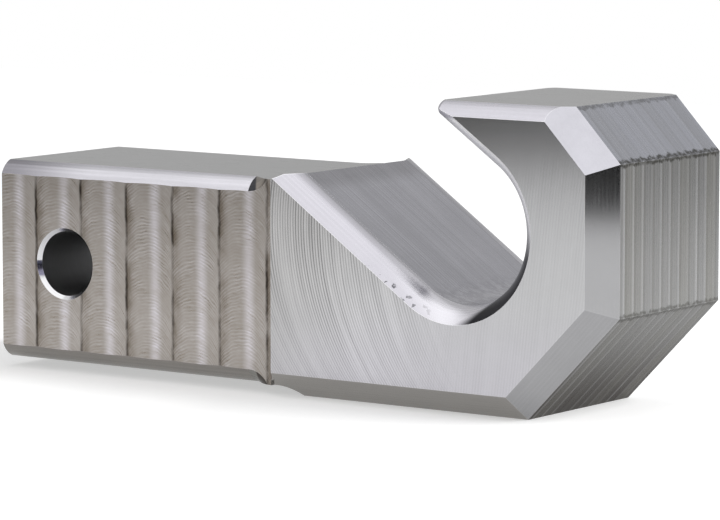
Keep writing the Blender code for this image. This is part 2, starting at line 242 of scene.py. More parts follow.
class Sheet:
    """Adds nodes to one node tree and joins them."""

    def __init__(self, tree: Tree) -> None:
        """Keeps the tree that the nodes go into."""
        self.tree = tree

    def node(self, kind: str, **settings: object) -> bpy.types.Node:
        """Adds a node.

        Args:
            kind: The node's type name.
            settings: Values for the node's own properties.

        Returns:
            The new node.
        """
        made = self.tree.nodes.new(kind)
        for name, value in settings.items():
            setattr(made, name, value)
        return made

    def plug(self, socket: Socket, value: object) -> None:
        """Joins a socket to the input, or writes a plain value on it.

        Args:
            socket: The input socket.
            value: An output socket or a plain value.
        """
        if isinstance(value, bpy.types.NodeSocket):
            self.tree.links.new(value, socket)
        else:
            socket.default_value = value

    def filled(self, made: bpy.types.Node, *values: object) -> Socket:
        """Fills a node's first inputs in order and gives its first output.

        Args:
            made: The node.
            values: Sockets or plain values.

        Returns:
            The node's first output.
        """
        for socket, value in zip(made.inputs, values):
            self.plug(socket, value)
        return made.outputs[0]

    def math(self, operation: str, *values: object) -> Socket:
        """Adds a Math node."""
        return self.filled(self.node("ShaderNodeMath", operation=operation), *values)

    def scaled(self, vector: Socket, factors: Point3) -> Socket:
        """Multiplies a vector by a factor for each axis."""
        return self.filled(self.node("ShaderNodeVectorMath", operation="MULTIPLY"), vector, factors)

    def combined(self, x: object, y: object, z: object) -> Socket:
        """Makes a vector from three numbers."""
        return self.filled(self.node("ShaderNodeCombineXYZ"), x, y, z)

    def dot(self, vector: Socket, other: object) -> Socket:
        """Gives how far a vector reaches along another one.

        Args:
            vector: The vector's socket.
            other: The other one, a socket or three numbers.

        Returns:
            The dot product.
        """
        made = self.node("ShaderNodeVectorMath", operation="DOT_PRODUCT")
        self.filled(made, vector, other)
        return made.outputs["Value"]

    def distance(self, value: Socket, middle: float) -> Socket:
        """Gives how far a value lies from a middle, to either side."""
        return self.math("ABSOLUTE", self.math("SUBTRACT", value, middle))

    def contrast(self, value: Socket, factor: object, middle: float) -> Socket:
        """Spreads a value about a middle, or draws it in."""
        return self.math("MULTIPLY_ADD", self.math("SUBTRACT", value, middle), factor, middle)

    def blended(self, share: object, weak: Socket, strong: Socket) -> Socket:
        """Blends two values by the strong one's share."""
        other = self.math("MULTIPLY", weak, self.math("SUBTRACT", 1.0, share))
        return self.math("MULTIPLY_ADD", strong, share, other)

    def varied(self, value: Socket, amount: float, middle: object) -> Socket:
        """Varies a middle by a share of itself, by a value about one half."""
        swing = self.math("MULTIPLY_ADD", value, 2.0 * amount, 1.0 - amount)
        return self.math("MULTIPLY", swing, middle)

    def noise(self, place: Socket, scale: object, detail: float, roughness: float = 0.5) -> Socket:
        """Adds a noise that runs from 0 to 1.

        Args:
            place: The vector that it is read at.
            scale: How fine it is.
            detail: How many finer layers it has.
            roughness: How strong those layers are.

        Returns:
            The noise's value.
        """
        made = self.node("ShaderNodeTexNoise")
        self.plug(made.inputs["Vector"], place)
        self.plug(made.inputs["Scale"], scale)
        made.inputs["Detail"].default_value = detail
        made.inputs["Roughness"].default_value = roughness
        return made.outputs["Fac"]

    def remapped(self, value: object, ends: Point2, new_ends: Point2) -> Socket:
        """Moves a value smoothly from one range to another and holds it inside."""
        made = self.node("ShaderNodeMapRange", interpolation_type="SMOOTHSTEP")
        return self.filled(made, value, *ends, *new_ends)

    def mixed(self, factor: object, first: object, second: object, blend: str = "MIX") -> Socket:
        """Mixes two colours.

        Args:
            factor: How much of the second one shows.
            first: The colour under it.
            second: The colour over it.
            blend: How they are mixed.

        Returns:
            The mixed colour.
        """
        made = self.node("ShaderNodeMix", data_type="RGBA", blend_type=blend)
        # The node's colours come after its number and vector sockets.
        for index, value in ((0, factor), (6, first), (7, second)):
            self.plug(made.inputs[index], value)
        return made.outputs[2]

    def effect(self, group: Tree, **values: object) -> Sockets:
        """Places a shared effect.

        Args:
            group: The effect's node group.
            values: Values or sockets for its inputs, by name.

        Returns:
            The effect's outputs.
        """
        made = self.node("ShaderNodeGroup", node_tree=group)
        for name, value in values.items():
            self.plug(made.inputs[name], value)
        return made.outputs


class EffectSheet(Sheet):
    """The sheet of a shared effect, a node group with named inputs and outputs."""

    def __init__(self, name: str, inputs: tuple[str, ...], outputs: tuple[str, ...]) -> None:
        """Makes the group and its sockets.

        Args:
            name: The group's name.
            inputs: The names of its inputs, all numbers but for a Place, which is a vector.
            outputs: The names of the numbers that it gives.
        """
        super().__init__(bpy.data.node_groups.new(name, "ShaderNodeTree"))
        sockets = self.tree.interface
        for label in inputs:
            kind = "NodeSocketVector" if label == "Place" else "NodeSocketFloat"
            sockets.new_socket(label, in_out="INPUT", socket_type=kind)
        for label in outputs:
            sockets.new_socket(label, in_out="OUTPUT", socket_type="NodeSocketFloat")
        self.given = list(self.node("NodeGroupInput").outputs)[: len(inputs)]
        self.end = self.node("NodeGroupOutput").inputs

    def giving(self, *results: Socket) -> Tree:
        """Joins the results to the outputs.

        Args:
            results: The results, in the order of the outputs.

        Returns:
            The finished group.
        """
        for socket, result in zip(self.end, results):
            self.plug(socket, result)
        return self.tree


class Effects:
    """The node groups that more than one finish uses, each built once."""

    def __init__(self) -> None:
        """Builds every group."""
        self.feed_lines = self._feed_lines()
        self.mill_arcs = self._mill_arcs()
        self.upright_passes = self._upright_passes()
        self.mottle = self._mottle()
        self.edge_scuff_and_highlight = self._edge_wear()

    @staticmethod
    def _feed_lines() -> Tree:
        """Builds the fine lines that a cutter leaves side by side.

        Returns:
            The group: a height, and a streak for colour and gloss.
        """
        inputs = ("Across", "Along", "Spacing", "Waver", "Evenness")
        sheet = EffectSheet("feed_lines", inputs, ("Height", "Streak"))
        across, along, spacing, waver, evenness = sheet.given
        near = sheet.math("MULTIPLY", across, 0.13)
        slow = sheet.math("MULTIPLY", along, 0.05)
        drift = sheet.noise(sheet.combined(near, slow, 1.7), 1.0, 1.0)
        shift = sheet.math("MULTIPLY", sheet.math("SUBTRACT", drift, 0.5), waver)
        turns = sheet.math("DIVIDE", sheet.math("ADD", across, shift), spacing)
        wave = sheet.math("SINE", sheet.math("MULTIPLY", turns, math.tau))
        even = sheet.math("POWER", sheet.math("MULTIPLY_ADD", wave, 0.5, 0.5), 1.8)
        faint = sheet.math("MULTIPLY", along, 0.03)
        fine = sheet.noise(sheet.combined(turns, faint, 5.3), 1.9, 3.0, 0.65)
        broad = sheet.noise(sheet.combined(turns, faint, 9.1), 0.35, 2.0)
        even = sheet.math("MULTIPLY", even, sheet.remapped(broad, (0.30, 0.65), (0.55, 1.3)))
        height = sheet.blended(evenness, fine, even)
        streak = sheet.math("MULTIPLY_ADD", height, 0.82, sheet.math("MULTIPLY", broad, 0.18))
        return sheet.giving(height, streak)

    @staticmethod
    def _mill_arcs() -> Tree:
        """Builds the place across the arcs of a face mill that moved along X.

        Returns:
            The group: the distance across the arcs.
        """
        sheet = EffectSheet("mill_arcs", ("Along", "Up", "Radius", "Middle"), ("Across",))
        along, up, radius, middle = sheet.given
        off = sheet.math("SUBTRACT", up, middle)
        squares = sheet.math("MULTIPLY", radius, radius)
        left = sheet.math("SUBTRACT", squares, sheet.math("MULTIPLY", off, off))
        bow = sheet.math("SQRT", sheet.math("MAXIMUM", left, 0.01))
        return sheet.giving(sheet.math("ADD", along, bow))

    @staticmethod
    def _upright_passes() -> Tree:
        """Builds the places in passes that lie side by side.

        Returns:
            The group: the offset from a pass's middle, its share of the width and its number.
        """
        sheet = EffectSheet("upright_passes", ("Along", "First", "Width"), ("Offset", "Share", "Number"))
        along, first, width = sheet.given
        passes = sheet.math("DIVIDE", sheet.math("SUBTRACT", along, first), width)
        number = sheet.math("FLOOR", passes)
        share = sheet.math("SUBTRACT", passes, number)
        offset = sheet.math("MULTIPLY", sheet.math("SUBTRACT", share, 0.5), width)
        return sheet.giving(offset, share, number)

    @staticmethod
    def _mottle() -> Tree:
        """Builds the soft clouds that handling leaves on bare steel.

        Returns:
            The group: a value about one half.
        """
        sheet = EffectSheet("mottle", ("Place", "Size"), ("Value",))
        place, size = sheet.given
        scale = sheet.math("DIVIDE", 1.0, size)
        large = sheet.noise(place, scale, 2.0)
        small = sheet.noise(place, sheet.math("MULTIPLY", scale, 5.0), 3.0, 0.6)
        return sheet.giving(sheet.math("MULTIPLY_ADD", small, 0.4, sheet.math("MULTIPLY", large, 0.6)))

    @staticmethod
    def _edge_wear() -> Tree:
        """Builds the narrow bright line on each edge: a painted highlight, partly real scuffing from
        deburring.

        Returns:
            The group: a mask of the edges.
        """
        sheet = EffectSheet("edge_scuff_and_highlight", ("Radius",), ("Mask",))
        rounding = sheet.node("ShaderNodeBevel", samples=6)
        sheet.plug(rounding.inputs["Radius"], sheet.given[0])
        flat = sheet.node("ShaderNodeNewGeometry").outputs["Normal"]
        likeness = sheet.dot(rounding.outputs[0], flat)
        return sheet.giving(sheet.remapped(likeness, (0.998, 0.97), (0.0, 1.0)))


class SteelSheet(Sheet):
    """The sheet of one finish, with the place on the steel in millimetres."""

    def __init__(self, tree: Tree, effects: Effects, hook: HitchHook) -> None:
        """Adds the nodes that read the place.

        Args:
            tree: The material's node tree.
            effects: The shared node groups.
            hook: The hook, whose sizes the marks follow.
        """
        super().__init__(tree)
        self.effects = effects
        self.hook = hook
        self.place = self.scaled(self.node("ShaderNodeTexCoord").outputs["Object"], (1 / MM,) * 3)
        axes = self.node("ShaderNodeSeparateXYZ")
        self.plug(axes.inputs[0], self.place)
        self.x, self.y, self.z = axes.outputs

    def passes(self, along: Socket, first: float, width: float) -> Sockets:
        """Places passes side by side, from where the first one starts, of one width in metres."""
        group = self.effects.upright_passes
        return self.effect(group, Along=along, First=first / MM, Width=width / MM)

    def shank_passes(self, along: Socket) -> Sockets:
        """Places the shank's upright passes."""
        return self.passes(along, self.hook.shank.last_cusp, self.hook.shank.pass_step)


@dataclass(frozen=True)
class Fade:
    """A soft change of colour, in millimetres along a direction that is the same on both cheeks."""

    direction: Point3
    start: float
    end: float
    colour: Colour
    strength: float = 1.0
    patches: Point2 | None = None


@dataclass(frozen=True)
class SteelFinish:
    """Bare steel as one kind of cut left it, colour partly painted light. Spacing, depth and the like are
    in mm.
    """

    name: str
    colour: Colour
    roughness: float
    lay: Lay = Lay.PROFILE
    spacing: float = 0.8
    depth: float = 0.006
    evenness: float = 0.2
    streaks: float = 0.10
    mottle: float = 0.06
    mottle_size: float = 9.0
    scuff_and_shine: float = 0.12
    edge_tint: float = 1.0
    warmth: float = 0.0
    rib_contrast: float = 1.0
    fades: tuple[Fade, ...] = ()

    def material(self, effects: Effects, hook: HitchHook) -> bpy.types.Material:
        """Builds the material.

        Args:
            effects: The shared node groups.
            hook: The hook, whose sizes the marks follow.

        Returns:
            The material, under the finish's name.
        """
        made = bpy.data.materials.new(self.name)
        made.use_nodes = True
        sheet = SteelSheet(made.node_tree, effects, hook)
        shader = made.node_tree.nodes["Principled BSDF"]
        height, streak = self._lines(sheet)
        clouds = sheet.effect(effects.mottle, Place=sheet.place, Size=self.mottle_size)
        scuff_and_shine = sheet.effect(effects.edge_scuff_and_highlight, Radius=EDGE_LINE)
        brightness = sheet.varied(clouds["Value"], self.mottle, sheet.varied(streak, self.streaks, 1.0))
        colour = self._marked(sheet, self._faded(sheet))
        colour = sheet.mixed(1.0, colour, self._toned(sheet, brightness), "MULTIPLY")
        # The bright line along each edge is a painted highlight, partly real scuffing from deburring.
        scuff_and_shine_share = sheet.math("MULTIPLY", scuff_and_shine["Mask"], self.scuff_and_shine)
        sheet.plug(shader.inputs["Base Color"], sheet.mixed(scuff_and_shine_share, colour, EDGE_SCUFF_AND_HIGHLIGHT))
        sheet.plug(shader.inputs["Roughness"], sheet.varied(streak, 0.25, self.roughness))
        shader.inputs["Metallic"].default_value = 1.0
        shader.inputs["Specular Tint"].default_value = (*[self.edge_tint] * 3, 1.0)
        bump = sheet.node("ShaderNodeBump")
        bump.inputs["Distance"].default_value = self.depth * MM
        sheet.plug(bump.inputs["Height"], height)
        sheet.plug(shader.inputs["Normal"], bump.outputs[0])
        return made

    def _lines(self, sheet: SteelSheet) -> tuple[Socket, Socket]:
        """Lays the tool marks.

        Args:
            sheet: The material's sheet.

        Returns:
            The marks' height and their streak.
        """
        if self.lay is Lay.FACE_MILL:
            return self._cheek_arcs(sheet)
        if self.lay is Lay.END_MILL:
            return self._pass_arcs(sheet)
        return self._feed(sheet, sheet.y, sheet.math("ADD", sheet.x, sheet.z), 0.5)

    def _feed(
        self, sheet: SteelSheet, across: Socket, along: Socket, waver: float
    ) -> tuple[Socket, Socket]:
        """Lays one family of feed lines.

        Args:
            sheet: The material's sheet.
            across: The place across the lines.
            along: The place along them.
            waver: How far they stray, in millimetres.

        Returns:
            The lines' height and their streak.
        """
        own = {"Spacing": self.spacing, "Evenness": self.evenness}
        lines = sheet.effect(sheet.effects.feed_lines, Across=across, Along=along, Waver=waver, **own)
        return lines["Height"], lines["Streak"]

    def _cheek_arcs(self, sheet: SteelSheet) -> tuple[Socket, Socket]:
        """Lays a face mill's arcs, strong under the ramp, over the faint lines of the last pass.

        Args:
            sheet: The material's sheet.

        Returns:
            The marks' height and their streak.
        """
        x, z = sheet.x, sheet.z
        arcs = sheet.effect(sheet.effects.mill_arcs, Along=x, Up=z, Radius=60.0, Middle=43.0)
        strong = self._feed(sheet, arcs[0], z, 0.5)
        leaning = sheet.math("SUBTRACT", x, sheet.math("MULTIPLY", z, 0.12))
        weak = [sheet.contrast(value, 0.12, 0.5) for value in self._feed(sheet, leaning, z, 0.5)]
        up_the_ramp = sheet.math("MULTIPLY_ADD", x, math.tan(sheet.hook.throat.slope), z)
        under = sheet.remapped(up_the_ramp, (12.0, 42.0), (0.35, 1.0))
        share = sheet.math("MULTIPLY", sheet.remapped(x, (10.0, 58.0), (1.0, 0.0)), under)
        return tuple(sheet.blended(share, *pair) for pair in zip(weak, strong))

    def _pass_arcs(self, sheet: SteelSheet) -> tuple[Socket, Socket]:
        """Lays an end mill's small arcs, pass by pass, stronger in patches.

        Args:
            sheet: The material's sheet.

        Returns:
            The marks' height and their streak.
        """
        passes = sheet.shank_passes(sheet.x)
        offset = passes["Offset"]
        arcs = sheet.effect(sheet.effects.mill_arcs, Along=0.0, Up=offset, Radius=8.2, Middle=-0.6)
        lag = sheet.math("MULTIPLY", passes["Number"], 3.37)
        up = sheet.math("ADD", sheet.z, lag)
        along = sheet.math("MULTIPLY", offset, 5.0)
        leading = self._feed(sheet, sheet.math("SUBTRACT", up, arcs[0]), along, 2.0)
        trailing = self._feed(sheet, sheet.math("ADD", up, arcs[0]), along, 2.0)
        both = [sheet.blended(0.86, *pair) for pair in zip(trailing, leading)]
        spot = sheet.combined(sheet.math("MULTIPLY", sheet.x, 1.6), lag, sheet.z)
        patch = sheet.remapped(sheet.noise(spot, 0.16, 3.0), (0.36, 0.60), (0.35, 1.35))
        return tuple(sheet.contrast(value, patch, 0.45) for value in both)

    def _toned(self, sheet: SteelSheet, value: Socket) -> Socket:
        """Turns a brightness about one into a colour, warmer in the valleys.

        Args:
            sheet: The material's sheet.
            value: The brightness.

        Returns:
            The colour.
        """
        blue = sheet.math("MULTIPLY_ADD", value, 1.0 + self.warmth, -self.warmth)
        green = sheet.math("MULTIPLY_ADD", value, 1.0 + 0.3 * self.warmth, -0.3 * self.warmth)
        return sheet.combined(value, green, blue)

    def _faded(self, sheet: SteelSheet) -> object:
        """Lays the soft changes of colour over the finish's own.

        Args:
            sheet: The material's sheet.

        Returns:
            The colour or its socket.
        """
        colour: object = (*self.colour, 1.0)
        place = sheet.combined(sheet.x, sheet.math("ABSOLUTE", sheet.y), sheet.z)
        for fade in self.fades:
            along = sheet.dot(place, fade.direction)
            part = sheet.remapped(along, (fade.start, fade.end), (0.0, fade.strength))
            if fade.patches:
                patch = sheet.noise(place, 0.5, 3.0, 0.6)
                part = sheet.math("MULTIPLY", part, sheet.remapped(patch, fade.patches, (0.0, 1.0)))
            colour = sheet.mixed(part, colour, (*fade.colour, 1.0))
        return colour

    def _marked(self, sheet: SteelSheet, colour: object) -> object:
        """Shades the passes that lie side by side.

        Args:
            sheet: The material's sheet.
            colour: The colour so far.

        Returns:
            The colour, changed only where the cut has passes.
        """
        if self.lay is Lay.END_MILL:
            return self._pass_shades(sheet, colour)
        if self.lay is Lay.RIBS:
            return self._rib_shades(sheet, colour)
        return colour

    @staticmethod
    def _pass_shades(sheet: SteelSheet, colour: object) -> Socket:
        """Paints shadow on the ridges between the shank's passes, brown shade beside them and a highlight
        in their middles.

        Args:
            sheet: The material's sheet.
            colour: The colour so far.

        Returns:
            The changed colour.
        """
        sway = sheet.noise(sheet.scaled(sheet.place, (0.05, 0.05, 0.30)), 1.0, 3.0)
        swayed = sheet.math("ADD", sheet.x, sheet.math("MULTIPLY_ADD", sway, 0.7, -0.35))
        share = sheet.shank_passes(swayed)["Share"]
        # Painted highlight: a light band a little past the middle of each pass.
        bright = sheet.remapped(sheet.distance(share, 0.62), (0.0, 0.17), (0.72, 0.0))
        colour = sheet.mixed(bright, colour, PAINTED_PASS_HIGHLIGHT)
        # Painted shade: brown beside each ridge, stronger in patches.
        patch = sheet.noise(sheet.scaled(sheet.place, (0.2, 0.2, 0.11)), 1.0, 4.0, 0.6)
        depth = sheet.remapped(patch, (0.35, 0.66), (0.25, 1.0))
        brown = sheet.math("MULTIPLY", sheet.remapped(share, (0.0, 0.24), (1.0, 0.0)), depth)
        colour = sheet.mixed(brown, colour, PAINTED_PASS_SHADE)
        # Painted shadow along the ridge between passes, stronger in the same patches.
        edge = sheet.distance(share, 0.5)
        ridge = sheet.math("MULTIPLY", sheet.remapped(edge, (0.455, 0.492), (0.0, 1.0)), depth)
        return sheet.mixed(ridge, colour, RIDGE_SHADOW)

    def _rib_shades(self, sheet: SteelSheet, colour: object) -> Socket:
        """Gives each narrow pass its own tone, painted highlight and shade, and burrs where it runs out at
        a corner.

        Args:
            sheet: The material's sheet.
            colour: The colour so far.

        Returns:
            The changed colour.
        """
        block = sheet.hook.block
        passes = sheet.passes(sheet.y, -block.cheek, block.width / block.pass_count)
        number, share = passes["Number"], passes["Share"]
        tone = sheet.noise(sheet.combined(number, 3.3, 0.7), 0.83, 1.0)
        olive = sheet.remapped(tone, (0.35, 0.65), (0.0, 0.45 * self.rib_contrast))
        colour = sheet.mixed(olive, colour, RIB_OLIVE)
        edge_tone = sheet.noise(sheet.combined(number, 7.1, 2.0), 0.9, 1.0)
        # Painted highlight along one side of each pass.
        light = sheet.remapped(share, (0.70, 0.97), (0.0, 0.28 * self.rib_contrast))
        light = sheet.math("MULTIPLY", light, sheet.remapped(edge_tone, (0.36, 0.62), (0.3, 1.5)))
        colour = sheet.mixed(light, colour, PAINTED_RIB_HIGHLIGHT)
        # Painted shade along the other side, by the cusp.
        dark = sheet.remapped(share, (0.40, 0.03), (0.0, 0.32 * self.rib_contrast))
        colour = sheet.mixed(dark, colour, RIB_SHADOW)
        torn = sheet.math("MULTIPLY_ADD", sheet.noise(sheet.place, 0.9, 3.0, 0.7), 1.4, -0.5)
        edge = sheet.distance(share, 0.5)
        bowed = sheet.math("MULTIPLY_ADD", sheet.math("MULTIPLY", edge, edge), 1.6, torn)
        ragged = sheet.remapped(torn, (-0.05, 0.30), (0.35, 1.0))
        for corner, strength in zip(block.pass_ends, BURR_STRENGTHS):
            off = sheet.distance(sheet.z, corner / MM)
            lift = sheet.math("ABSOLUTE", sheet.math("SUBTRACT", off, bowed))
            burr = sheet.math("MULTIPLY", sheet.remapped(lift, (0.75, 0.15), (0.0, strength)), ragged)
            colour = sheet.mixed(burr, colour, BURR)
        return colour


class Steel:
    """Every finish of the hook, with its material."""

    # Painted light: one steel, set lighter or darker from face to face for the light or shade that each
    # face reflects; the comments below say where.
    FINISHES = (
        SteelFinish(
            "shank_cheek", (0.390, 0.360, 0.336), 0.30, Lay.END_MILL, spacing=0.85, depth=0.018,
            evenness=0.22, streaks=0.52, mottle=0.22, warmth=0.3,
            # Painted shade, in patches, in the inside corner at the shoulder.
            fades=(Fade(LENGTHWISE, -5.0, -4.4, (0.10, 0.085, 0.075), 0.85, (0.30, 0.50)),),
        ),
        SteelFinish(
            "hook_cheek", (0.458, 0.458, 0.465), 0.14, Lay.FACE_MILL, depth=0.008,
            evenness=0.42, streaks=-0.75, mottle=0.05, scuff_and_shine=0.2,
            fades=(
                Fade(UPWARD, 34.0, 6.0, (0.456, 0.448, 0.476)),
                # Painted shade: the cheek darker up towards the nose, for the dark that it reflects there.
                Fade((0.6, 0.0, -0.6), 12.0, -26.0, (0.355, 0.351, 0.351)),
            ),
        ),
        SteelFinish(
            "top_face", (0.50, 0.50, 0.50), 0.30, spacing=0.9, depth=0.004, streaks=0.05, edge_tint=0.85,
        ),
        SteelFinish(
            "throat_wall", (0.452, 0.45, 0.485), 0.24, spacing=1.0, depth=0.008,
            evenness=0.1, streaks=0.34, mottle=0.12, mottle_size=14.0,
            fades=(
                Fade(UPWARD, 50.0, 53.2, (0.30, 0.295, 0.315), 0.6),
                Fade(UPWARD, 30.0, 27.0, (0.35, 0.345, 0.38), 0.8, (0.40, 0.58)),
            ),
        ),
        SteelFinish(
            "rounding", (0.515, 0.505, 0.547), 0.26, spacing=0.9, streaks=0.12, scuff_and_shine=0.9,
            fades=(
                Fade(OUTWARD, 23.8, 21.2, (0.44, 0.435, 0.465)),
                Fade((1.0, 6.0, 1.0), 224.6, 226.0, (0.10, 0.10, 0.11), 0.9, (0.58, 0.64)),
                # Painted highlight round the bottom of the throat.
                Fade(ROUND_THE_THROAT, 62.0, 69.0, (0.64, 0.63, 0.67)),
                # A nearly black painted reflection further round the throat.
                Fade((0.3, 1.0, 0.3), 49.4, 51.2, (0.02, 0.02, 0.023)),
                # Painted highlight along the rounding of the nose's top, ended a little below the top by
                # the next fade.
                Fade(ROUND_THE_THROAT, 108.0, 120.0, (0.88, 0.88, 0.87)),
                Fade(UPWARD, 70.4, 71.3, (0.515, 0.505, 0.547)),
            ),
        ),
        # Painted highlight: the top edges lighter than the bottom ones, fading darker towards the free
        # end.
        SteelFinish(
            "top_edge", (0.66, 0.65, 0.695), 0.22, streaks=0.12,
            fades=(Fade(LENGTHWISE, -62.0, -92.0, (0.31, 0.30, 0.33)),),
        ),
        # Painted shade: nearly black where the top edge runs out, lighter past a slanted line.
        SteelFinish(
            "top_run_out", (0.05, 0.05, 0.055), 0.30, spacing=0.6, depth=0.01, streaks=0.3,
            fades=(Fade((1.0, -0.706, 0.0), -29.0, -28.4, (0.25, 0.225, 0.20)),),
        ),
        # Painted shade: the bottom edges darker than the top ones, for the shaded floor that they reflect,
        # and darkest where they run out at the shoulder.
        SteelFinish("bottom_edge", (0.27, 0.256, 0.240), 0.24, streaks=0.18),
        SteelFinish(
            "bottom_run_out", (0.255, 0.25, 0.235), 0.28, spacing=0.6, depth=0.01, streaks=0.25,
            fades=(Fade(LENGTHWISE, -11.2, -10.6, (0.05, 0.04, 0.034), 0.9),),
        ),
        # Painted light and shade: the chamfers are one cut, darker low down, where they reflect the shaded
        # floor, and lighter on the upper facet.
        SteelFinish("base_chamfer", (0.336, 0.324, 0.309), 0.20, spacing=0.7, depth=0.004, scuff_and_shine=0.3),
        SteelFinish("lower_facet_chamfer", (0.317, 0.317, 0.325), 0.18, spacing=0.7, depth=0.004),
        SteelFinish("back_chamfer", (0.358, 0.358, 0.365), 0.09, spacing=0.7, depth=0.002, streaks=0.05),
        SteelFinish(
            "upper_facet_chamfer", (0.478, 0.473, 0.513), 0.20, spacing=0.7, depth=0.003,
            streaks=0.03, mottle=0.14,
        ),
        # Painted shade: the back darker towards its top.
        SteelFinish(
            "back_passes", (0.295, 0.295, 0.295), 0.28, Lay.RIBS, spacing=1.0, depth=0.008, streaks=0.22,
            fades=(Fade(UPWARD, 34.0, 64.0, (0.245, 0.245, 0.245)),),
        ),
        # Painted light: the upper facet lighter and bluer than the back and the lower facet, which are cut
        # alike.
        SteelFinish(
            "upper_facet_passes", (0.50, 0.51, 0.565), 0.26, Lay.RIBS, spacing=1.0, streaks=0.14,
            rib_contrast=0.4,
        ),
        # Painted shade: the lower facet darker than the back, and darker still towards the bottom, for the
        # hook's own shadow that it reflects.
        SteelFinish(
            "lower_facet_passes", (0.275, 0.273, 0.270), 0.28, Lay.RIBS, spacing=1.0, depth=0.008,
            streaks=0.20, edge_tint=0.55, rib_contrast=0.7,
            fades=(Fade(UPWARD, 24.0, 2.0, (0.10, 0.092, 0.086)),),
        ),
        SteelFinish("base_face", (0.40, 0.40, 0.39), 0.30, spacing=1.2),
        SteelFinish("shank_end", (0.40, 0.39, 0.40), 0.30, spacing=1.2),
        SteelFinish(
            "bore", (0.29, 0.29, 0.295), 0.42, spacing=0.6, depth=0.01, streaks=0.2, edge_tint=0.8,
        ),
        # Painted highlights and dark reflections in bands, by height, round the mouths of the pin hole.
        SteelFinish(
            "bore_rim", (0.62, 0.62, 0.64), 0.18, spacing=0.6, depth=0.004,
            fades=(
                Fade(UPWARD, 28.3, 27.9, (0.07, 0.07, 0.10)),
                Fade(UPWARD, 27.0, 26.6, (0.26, 0.25, 0.34)),
                Fade(UPWARD, 24.6, 23.8, (0.66, 0.66, 0.67)),
            ),
        ),
    )

    def __init__(self, hook: HitchHook) -> None:
        """Builds the shared effects and each finish's material, to the sizes of the hook."""
        effects = Effects()
        self.materials = {finish.name: finish.material(effects, hook) for finish in self.FINISHES}

    def __getitem__(self, name: str) -> bpy.types.Material:
        """Gives a finish's material."""
        return self.materials[name]


class Workshop:
    """Makes closed solids to cut the billet with, each in the finish that its cut leaves."""

    def __init__(self, steel: Steel) -> None:
        """Makes the collection that the cutters are kept in while they are needed.

        Args:
            steel: The finishes.
        """
        self.steel = steel
        self.collection = bpy.data.collections.new("cutting_tools")
        bpy.context.scene.collection.children.link(self.collection)

    def plate(
        self, name: str, outline: list[Point2], thickness: float, finish: str, placing: Matrix = UPRIGHT
    ) -> Piece:
        """Makes a flat outline with a thickness, half of it on each side.

        Args:
            name: The object's name.
            outline: The outline's points.
            thickness: The whole thickness.
            finish: The finish that its cut leaves.
            placing: Where the outline's plane lies.

        Returns:
            The object.
        """
        rings = [[(x, y, z) for x, y in outline] for z in (-thickness / 2, thickness / 2)]
        return self.loft(name, rings, finish, placing)

    def loft(
        self, name: str, rings: list[list[Point3]], finish: str, placing: Matrix = AS_DRAWN
    ) -> Piece:
        """Makes a closed solid through rings of points that all have the same count.

        Args:
            name: The object's name.
            rings: The rings, in order.
            finish: The finish that its cut leaves.
            placing: Where it goes.

        Returns:
            The object.
        """
        shape = bmesh.new()
        rows = [[shape.verts.new(point) for point in ring] for ring in rings]
        for row, next_row in zip(rows, rows[1:]):
            for index, corner in enumerate(row):
                after = (index + 1) % len(row)
                shape.faces.new((corner, row[after], next_row[after], next_row[index]))
        shape.faces.new(rows[0])
        shape.faces.new(rows[-1])
        return self._solid(name, shape, finish, placing)

    def block(self, name: str, size: Point3, placing: Matrix, finish: str) -> Piece:
        """Makes a cuboid centred on its placing.

        Args:
            name: The object's name.
            size: Its three lengths.
            placing: Its middle and its turn.
            finish: The finish that its cut leaves.

        Returns:
            The object.
        """
        shape = bmesh.new()
        bmesh.ops.create_cube(shape, size=1.0, matrix=placing @ Matrix.Diagonal((*size, 1.0)))
        return self._solid(name, shape, finish, AS_DRAWN)

    def _solid(self, name: str, shape: Shape, finish: str, placing: Matrix) -> Piece:
        """Turns every face outward and makes the object.

        Args:
            name: The object's name.
            shape: Its shape so far, which is freed.
            finish: The finish that its cut leaves.
            placing: Where it goes.

        Returns:
            The object.
        """
        bmesh.ops.recalc_face_normals(shape, faces=shape.faces)
        mesh = mesh_of(name, shape)
        mesh.transform(placing)
        mesh.materials.append(self.steel[finish])
        made = bpy.data.objects.new(name, mesh)
        self.collection.objects.link(made)
        return made

    def refinish(
        self, solid: Piece, finish: str, chosen: Callable[[bpy.types.MeshPolygon], bool]
    ) -> None:
        """Gives some faces of a solid another finish.

        Args:
            solid: The solid.
            finish: The other finish.
            chosen: Says which faces get it.
        """
        solid.data.materials.append(self.steel[finish])
        for face in solid.data.polygons:
            if chosen(face):
                face.material_index = len(solid.data.materials) - 1

    @staticmethod
    def mirrored(solid: Piece) -> Piece:
        """Adds the copy beyond the middle plane of the width.

        Args:
            solid: The near side's cutter.

        Returns:
            The same object.
        """
        mirror = solid.modifiers.new("other_side", "MIRROR")
        mirror.use_axis = (False, True, False)
        mirror.use_mirror_merge = False
        return solid

    def finished(self, billet: Piece, tools: list[Piece], name: str) -> Piece:
        """Takes every cutter's space out of the billet and clears the cutters away.

        Args:
            billet: The billet.
            tools: The cutters, in order.
            name: The finished piece's name.

        Returns:
            The finished piece.
        """
        for tool in tools:
            boolean = billet.modifiers.new(tool.name, "BOOLEAN")
            boolean.operation = "DIFFERENCE"
            boolean.solver = "EXACT"
            boolean.material_mode = "TRANSFER"
            boolean.object = tool
        bpy.context.view_layer.update()
        graph = bpy.context.evaluated_depsgraph_get()
        mesh = bpy.data.meshes.new_from_object(billet.evaluated_get(graph), depsgraph=graph)
        for old in list(self.collection.objects):
            bpy.data.objects.remove(old, do_unlink=True)
        bpy.data.collections.remove(self.collection)
        return in_scene(name, mesh)


